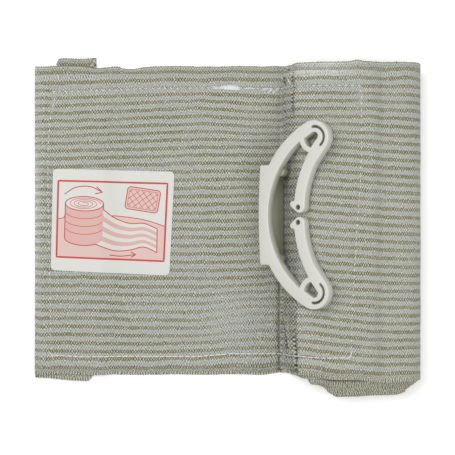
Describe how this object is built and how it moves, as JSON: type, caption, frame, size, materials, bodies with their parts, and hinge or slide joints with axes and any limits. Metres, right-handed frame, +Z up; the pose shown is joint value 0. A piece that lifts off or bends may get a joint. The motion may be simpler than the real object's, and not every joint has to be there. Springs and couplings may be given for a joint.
{
  "type": "emergency pressure bandage",
  "caption": "Elastic striped wrap, part flat over a stitched dressing pad and part wound on a flattened roll, with a hooked plastic pressure bar.",
  "frame": {"origin": "on the surface, below the middle of the whole bandage's box", "axes": "+X from the folded free end to the roll, along the strip; +Y across the strip; +Z up"},
  "size_m": [0.186, 0.1634, 0.0369],
  "materials": {
    "wrap": "elastic knit with narrow olive and pale grey stripes along its length",
    "pad": "white absorbent dressing and white sewing thread",
    "label": "white coated paper with a pale red print",
    "pressure_bar": "moulded off-white plastic, satin"
  },
  "bodies": {
    "root": {"wrap": "wrap", "pad": "pad", "label": "label", "pressure_bar": "pressure_bar"}
  },
  "joints": []
}
